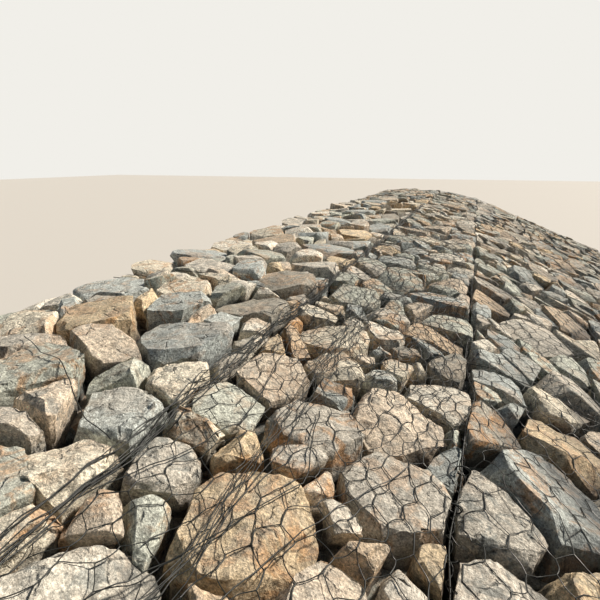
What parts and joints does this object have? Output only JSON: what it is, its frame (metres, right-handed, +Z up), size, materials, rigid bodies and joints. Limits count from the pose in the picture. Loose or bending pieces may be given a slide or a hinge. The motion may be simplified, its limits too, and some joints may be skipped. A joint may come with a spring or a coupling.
{
  "type": "gabion revetment wall section",
  "caption": "Stone-filled wire baskets in rows along a crest and down a slope; the crest row is open and heaped, the rest are lidded.",
  "frame": {"origin": "middle of the flat underside", "axes": "+X across the wall from the crest row to the toe, +Y along the bays, +Z up"},
  "size_m": [5.019, 12.008, 1.9186],
  "materials": {
    "stone_fill": "broken quarry stone, rough and dusty",
    "edge_wire": "dark plastic-coated steel wire",
    "net_wire": "dark green-black plastic-coated steel wire"
  },
  "bodies": {
    "root": {"crest_row_basket_wires": "edge_wire", "crest_row_end_net": "net_wire", "crest_row_fill_bay_1": "stone_fill", "crest_row_fill_bay_2": "stone_fill", "crest_row_fill_bay_3": "stone_fill", "crest_row_fill_bay_4": "stone_fill", "crest_row_fill_bay_5": "stone_fill", "crest_row_fill_bay_6": "stone_fill", "lid_edge_bundle": "edge_wire", "middle_slope_row_basket_wires": "edge_wire", "middle_slope_row_end_net": "net_wire", "middle_slope_row_fill_bay_1": "stone_fill", "middle_slope_row_fill_bay_2": "stone_fill", "middle_slope_row_fill_bay_3": "stone_fill", "middle_slope_row_fill_bay_4": "stone_fill", "middle_slope_row_fill_bay_5": "stone_fill", "middle_slope_row_fill_bay_6": "stone_fill", "open_row_basket_wires": "edge_wire", "open_row_end_net": "net_wire", "open_row_fill_bay_1": "stone_fill", "open_row_fill_bay_2": "stone_fill", "open_row_fill_bay_3": "stone_fill", "open_row_fill_bay_4": "stone_fill", "open_row_fill_bay_5": "stone_fill", "open_row_fill_bay_6": "stone_fill", "toe_row_basket_wires": "edge_wire", "toe_row_end_net": "net_wire", "toe_row_fill_bay_1": "stone_fill", "toe_row_fill_bay_2": "stone_fill", "toe_row_fill_bay_3": "stone_fill", "toe_row_fill_bay_4": "stone_fill", "toe_row_fill_bay_5": "stone_fill", "toe_row_fill_bay_6": "stone_fill", "upper_slope_row_basket_wires": "edge_wire", "upper_slope_row_end_net": "net_wire", "upper_slope_row_fill_bay_1": "stone_fill", "upper_slope_row_fill_bay_2": "stone_fill", "upper_slope_row_fill_bay_3": "stone_fill", "upper_slope_row_fill_bay_4": "stone_fill", "upper_slope_row_fill_bay_5": "stone_fill", "upper_slope_row_fill_bay_6": "stone_fill"}
  },
  "joints": []
}
